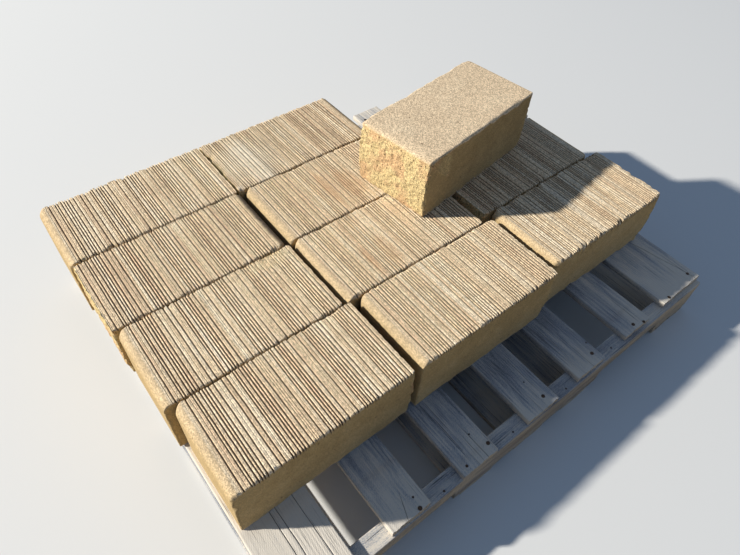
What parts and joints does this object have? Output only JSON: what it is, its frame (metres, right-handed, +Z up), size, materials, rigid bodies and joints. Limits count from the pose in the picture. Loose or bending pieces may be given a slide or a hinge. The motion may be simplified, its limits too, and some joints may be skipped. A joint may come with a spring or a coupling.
{
  "type": "pallet of concrete blocks",
  "caption": "Wooden stringer pallet carrying one layer of solid concrete blocks with ribbed top faces, and a loose block lying across them.",
  "frame": {"origin": "on the floor under the middle of the pallet, which the load overhangs a little at -X", "axes": "+X along the stringers and the blocks' length, +Y across the pallet away from the open strip of deck, +Z up"},
  "size_m": [1.2365, 1.042, 0.433],
  "materials": {
    "concrete": "rough cast",
    "weathered_wood": "weathered sawn"
  },
  "bodies": {
    "root": {"block_a1": "concrete", "block_a2": "concrete", "block_a3": "concrete", "block_a4": "concrete", "block_b1": "concrete", "block_b2": "concrete", "block_b3": "concrete", "block_b4": "concrete", "block_c2": "concrete", "block_c3": "concrete", "block_c4": "concrete", "bottom_board_1": "weathered_wood", "bottom_board_2": "weathered_wood", "bottom_board_3": "weathered_wood", "bottom_board_4": "weathered_wood", "bottom_board_5": "weathered_wood", "deck_board_1": "weathered_wood", "deck_board_2": "weathered_wood", "deck_board_3": "weathered_wood", "deck_board_4": "weathered_wood", "deck_board_5": "weathered_wood", "deck_board_6": "weathered_wood", "deck_board_7": "weathered_wood", "loose_block": "concrete", "stringer_back": "weathered_wood", "stringer_front": "weathered_wood", "stringer_middle": "weathered_wood"}
  },
  "joints": []
}
